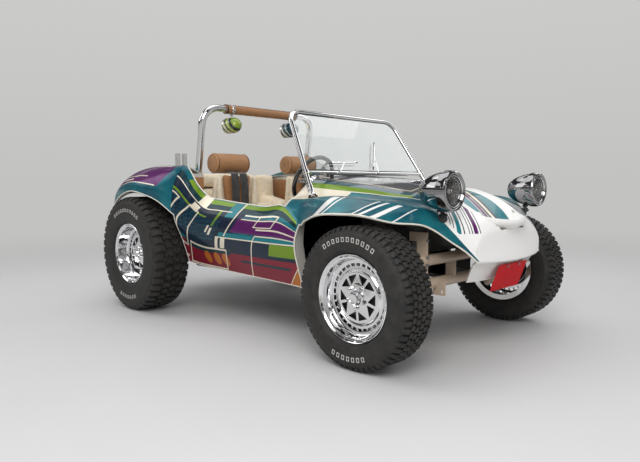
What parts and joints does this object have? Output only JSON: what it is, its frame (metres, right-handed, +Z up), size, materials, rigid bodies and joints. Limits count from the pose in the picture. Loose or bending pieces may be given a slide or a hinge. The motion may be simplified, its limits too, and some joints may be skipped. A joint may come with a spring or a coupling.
{
  "type": "dune buggy",
  "caption": "Open two-plus-two dune buggy with a glass-fibre tub, flat windscreen, roll hoop, pod headlamps, rear engine and large treaded tyres; wheels roll and the front pair steers.",
  "frame": {"origin": "centre of the bounding box, on the ground under the tyres", "axes": "+X forward to the nose, +Y to the car's left, +Z up"},
  "size_m": [3.2349, 1.796, 1.451],
  "materials": {
    "paint": "gloss lacquer over metal flake",
    "pan_black": "satin chassis black",
    "chrome": "bright chrome plate",
    "glass": "clear laminated glass",
    "lens": "smoked lamp lens",
    "black_trim": "satin black",
    "tan_leather": "stitched tan hide",
    "cream_hide": "cream hide",
    "pod_paint": "gloss lacquer",
    "plate_red": "gloss",
    "lamp_red": "moulded lens",
    "beige_paint": "satin chassis paint",
    "tyre": "rubber",
    "rim_chrome": "polished chrome",
    "drum_iron": "cast iron",
    "engine_alloy": "cast alloy",
    "shroud_black": "gloss black",
    "steel": "bare steel"
  },
  "bodies": {
    "chassis": {"body_shell": "paint", "bonnet": "paint", "dampers": "steel", "dash_panel": "black_trim", "engine_case": "engine_alloy", "exhaust": "chrome", "fan_shroud": "shroud_black", "floor_pan": "pan_black", "front_axle_beam": "beige_paint", "fuel_tank": "pan_black", "headlamp_lenses": "lens", "headlamp_shells": "chrome", "headrests": "tan_leather", "levers": "black_trim", "number_plate": "plate_red", "pedals": "steel", "rear_axle": "beige_paint", "rear_bench": "cream_hide", "roll_bar": "chrome", "roll_bar_pad": "tan_leather", "seat_left": "cream_hide", "seat_right": "cream_hide", "speaker_pods": "pod_paint", "steering_column": "black_trim", "tail_lamps": "lamp_red", "transaxle": "engine_alloy", "windscreen_frame": "chrome", "windscreen_glass": "glass", "wipers": "black_trim"},
    "wheel_front_left": {"drum_front_left": "drum_iron", "rim_front_left": "rim_chrome", "tyre_front_left": "tyre"},
    "wheel_front_right": {"drum_front_right": "drum_iron", "rim_front_right": "rim_chrome", "tyre_front_right": "tyre"},
    "wheel_rear_left": {"drum_rear_left": "drum_iron", "rim_rear_left": "rim_chrome", "tyre_rear_left": "tyre"},
    "wheel_rear_right": {"drum_rear_right": "drum_iron", "rim_rear_right": "rim_chrome", "tyre_rear_right": "tyre"},
    "knuckle_left": {"knuckle_left": "beige_paint"},
    "knuckle_right": {"knuckle_right": "beige_paint"},
    "steering_wheel": {"steering_wheel": "chrome"},
    "track_rod": {"track_rod": "steel"}
  },
  "joints": [
    {"name": "steer_right", "type": "hinge", "parent": "chassis", "child": "knuckle_right", "pos_m": [1.1725, -0.555, 0.343], "axis": [0, 0, 1], "range_deg": [-28, 28]},
    {"name": "steer_left", "type": "hinge", "parent": "chassis", "child": "knuckle_left", "pos_m": [1.1725, 0.555, 0.343], "axis": [0, 0, 1], "range_deg": [-28, 28]},
    {"name": "track_rod_slide", "type": "slide", "parent": "chassis", "child": "track_rod", "axis": [0, 1, 0], "range_m": [-0.0612, 0.0612]},
    {"name": "steering_wheel_turn", "type": "hinge", "parent": "chassis", "child": "steering_wheel", "pos_m": [0.4505, -0.335, 0.901], "axis": [-0.9135, 0, 0.4067], "range_deg": [-393, 393]},
    {"name": "spin_front_right", "type": "hinge", "parent": "knuckle_right", "child": "wheel_front_right", "pos_m": [1.1725, -0.715, 0.343], "axis": [0, 1, 0], "continuous": true},
    {"name": "spin_front_left", "type": "hinge", "parent": "knuckle_left", "child": "wheel_front_left", "pos_m": [1.1725, 0.715, 0.343], "axis": [0, 1, 0], "continuous": true},
    {"name": "spin_rear_right", "type": "hinge", "parent": "chassis", "child": "wheel_rear_right", "pos_m": [-0.8655, -0.762, 0.401], "axis": [0, 1, 0], "continuous": true},
    {"name": "spin_rear_left", "type": "hinge", "parent": "chassis", "child": "wheel_rear_left", "pos_m": [-0.8655, 0.762, 0.401], "axis": [0, 1, 0], "continuous": true}
  ],
  "couplings": [
    {"joint": "steer_left", "follows": "steer_right", "ratio": 1},
    {"joint": "track_rod_slide", "follows": "steer_right", "m_per_rad": -0.12489},
    {"joint": "steering_wheel_turn", "follows": "steer_right", "ratio": 14}
  ]
}
